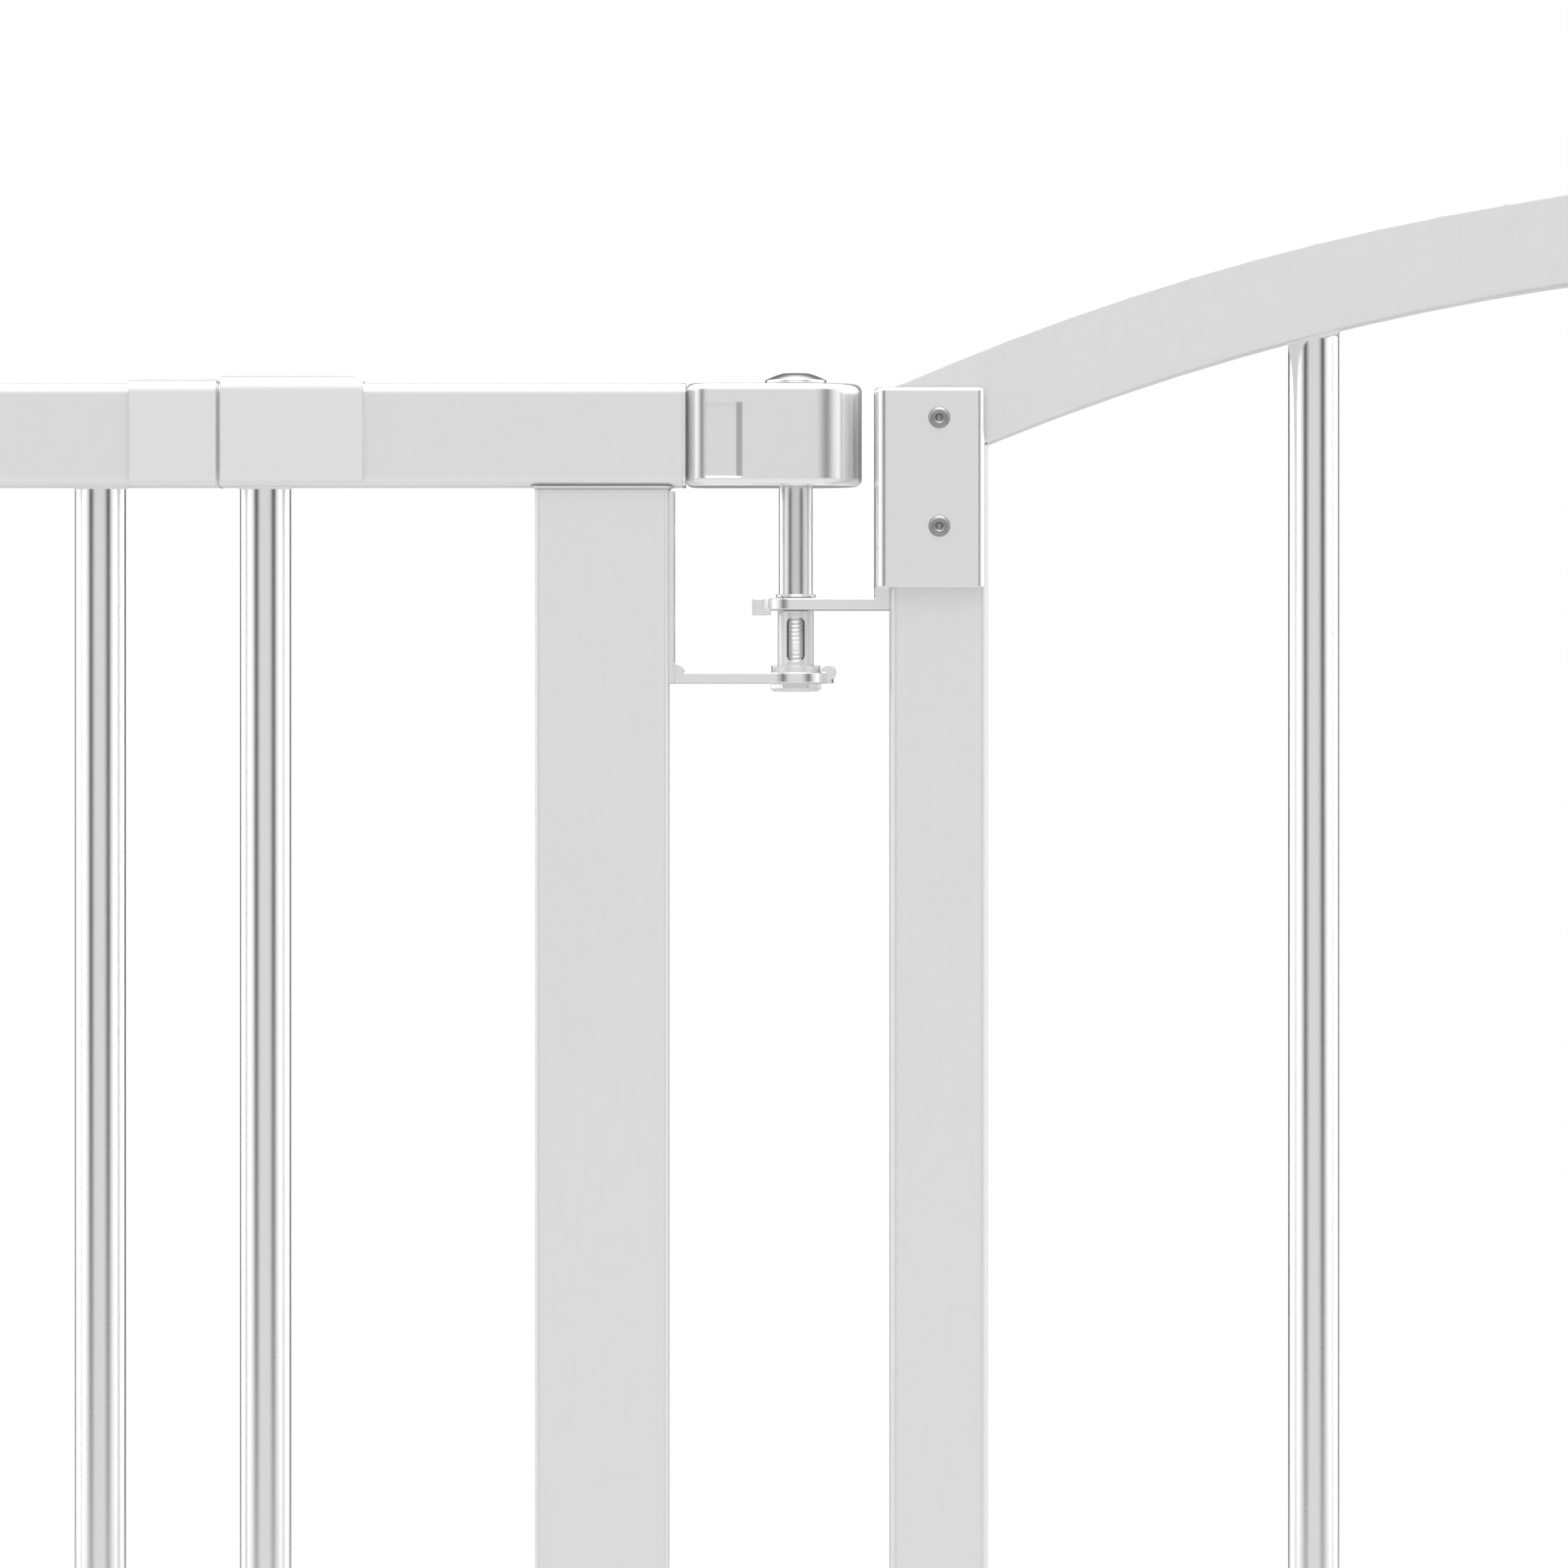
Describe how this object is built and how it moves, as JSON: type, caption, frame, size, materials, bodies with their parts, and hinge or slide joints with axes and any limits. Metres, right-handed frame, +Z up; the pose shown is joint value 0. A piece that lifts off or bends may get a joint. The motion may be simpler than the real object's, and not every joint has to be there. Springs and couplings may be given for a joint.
{
  "type": "pet gate",
  "caption": "Pressure-fit pet gate: arched barred door on a pin hinge with a drop-bolt latch, telescoping barred side panels and screw-out wall feet.",
  "frame": {"origin": "on the floor under the middle of the door, in the gate's middle plane", "axes": "+X across the doorway from the hinge side to the latch side, +Y through the doorway, +Z up"},
  "size_m": [1.2828, 0.0336, 0.7623],
  "materials": {
    "frame_paint": "satin light powder coat",
    "baluster_paint": "semi-gloss light powder coat",
    "bracket_paint": "satin light powder coat",
    "housing_paint": "gloss light paint over a casting",
    "bar_paint": "satin light powder coat, rubbed where it slides",
    "moulded_white": "moulded, lightly glossy",
    "zinc_steel": "bright zinc plate",
    "rivet_steel": "dull set rivet",
    "wheel_plastic": "moulded, fine texture",
    "foot_rubber": "soft grey rubber"
  },
  "bodies": {
    "frame": {"left_flat_post": "frame_paint", "right_flat_post": "frame_paint", "inner_top_rails": "frame_paint", "inner_bottom_rails": "frame_paint", "inner_balusters": "baluster_paint", "inner_clips": "moulded_white", "threshold_bar": "frame_paint", "threshold_feet": "foot_rubber", "hinge_housing": "housing_paint", "hinge_pin": "zinc_steel", "hinge_spacer": "zinc_steel", "hinge_bush": "moulded_white", "hinge_support_bracket": "bracket_paint", "hinge_nut": "zinc_steel", "lower_hinge_bracket": "bracket_paint", "lower_hinge_pin": "zinc_steel", "lower_hinge_bush": "moulded_white", "latch_housing": "housing_paint", "latch_guide_bracket": "bracket_paint", "bracket_screws": "zinc_steel"},
    "door": {"door_hinge_post": "frame_paint", "door_latch_post": "frame_paint", "door_arch_rail": "frame_paint", "door_bottom_rail": "frame_paint", "door_baluster_1": "baluster_paint", "door_baluster_2": "baluster_paint", "door_baluster_3": "baluster_paint", "door_baluster_4": "baluster_paint", "door_baluster_5": "baluster_paint", "hinge_side_bracket": "bracket_paint", "latch_side_bracket": "bracket_paint", "door_rivets": "rivet_steel", "door_foot_arm": "bracket_paint"},
    "latch": {"latch_bolt": "zinc_steel", "latch_knob": "moulded_white"},
    "left_panel": {"left_panel_top_rail": "frame_paint", "left_panel_bottom_rail": "frame_paint", "left_wall_post": "frame_paint", "left_panel_balusters": "baluster_paint", "left_panel_clips": "moulded_white", "left_telescope_bars": "bar_paint"},
    "left_top_wheel": {"left_top_hand_wheel": "wheel_plastic"},
    "left_top_foot": {"left_top_spindle": "zinc_steel", "left_top_pad": "foot_rubber"},
    "left_bottom_wheel": {"left_bottom_hand_wheel": "wheel_plastic"},
    "left_bottom_foot": {"left_bottom_spindle": "zinc_steel", "left_bottom_pad": "foot_rubber"},
    "right_panel": {"right_panel_top_rail": "frame_paint", "right_panel_bottom_rail": "frame_paint", "right_wall_post": "frame_paint", "right_panel_balusters": "baluster_paint", "right_panel_clips": "moulded_white", "right_telescope_bars": "bar_paint"},
    "right_top_wheel": {"right_top_hand_wheel": "wheel_plastic"},
    "right_top_foot": {"right_top_spindle": "zinc_steel", "right_top_pad": "foot_rubber"},
    "right_bottom_wheel": {"right_bottom_hand_wheel": "wheel_plastic"},
    "right_bottom_foot": {"right_bottom_spindle": "zinc_steel", "right_bottom_pad": "foot_rubber"}
  },
  "joints": [
    {"name": "door_swing", "type": "hinge", "parent": "frame", "child": "door", "pos_m": [-0.22, 0, 0.38], "axis": [0, 0, 1], "range_deg": [-90, 90]},
    {"name": "latch_drop", "type": "slide", "parent": "frame", "child": "latch", "axis": [0, 0, 1], "range_m": [-0.022, 0]},
    {"name": "left_panel_slide", "type": "slide", "parent": "frame", "child": "left_panel", "axis": [-1, 0, 0], "range_m": [0, 0.03]},
    {"name": "left_top_wheel_turn", "type": "hinge", "parent": "left_panel", "child": "left_top_wheel", "pos_m": [-0.614, 0, 0.71], "axis": [-1, 0, 0], "range_deg": [0, 5760]},
    {"name": "left_top_foot_travel", "type": "slide", "parent": "left_panel", "child": "left_top_foot", "axis": [-1, 0, 0], "range_m": [0, 0.02]},
    {"name": "left_bottom_wheel_turn", "type": "hinge", "parent": "left_panel", "child": "left_bottom_wheel", "pos_m": [-0.614, 0, 0.05], "axis": [-1, 0, 0], "range_deg": [0, 5760]},
    {"name": "left_bottom_foot_travel", "type": "slide", "parent": "left_panel", "child": "left_bottom_foot", "axis": [-1, 0, 0], "range_m": [0, 0.02]},
    {"name": "right_panel_slide", "type": "slide", "parent": "frame", "child": "right_panel", "axis": [1, 0, 0], "range_m": [0, 0.03]},
    {"name": "right_top_wheel_turn", "type": "hinge", "parent": "right_panel", "child": "right_top_wheel", "pos_m": [0.614, 0, 0.71], "axis": [1, 0, 0], "range_deg": [0, 5760]},
    {"name": "right_top_foot_travel", "type": "slide", "parent": "right_panel", "child": "right_top_foot", "axis": [1, 0, 0], "range_m": [0, 0.02]},
    {"name": "right_bottom_wheel_turn", "type": "hinge", "parent": "right_panel", "child": "right_bottom_wheel", "pos_m": [0.614, 0, 0.05], "axis": [1, 0, 0], "range_deg": [0, 5760]},
    {"name": "right_bottom_foot_travel", "type": "slide", "parent": "right_panel", "child": "right_bottom_foot", "axis": [1, 0, 0], "range_m": [0, 0.02]}
  ],
  "couplings": [
    {"joint": "left_top_wheel_turn", "follows": "left_top_foot_travel", "rad_per_m": 5026},
    {"joint": "left_bottom_wheel_turn", "follows": "left_bottom_foot_travel", "rad_per_m": 5026},
    {"joint": "right_top_wheel_turn", "follows": "right_top_foot_travel", "rad_per_m": 5026},
    {"joint": "right_bottom_wheel_turn", "follows": "right_bottom_foot_travel", "rad_per_m": 5026}
  ]
}
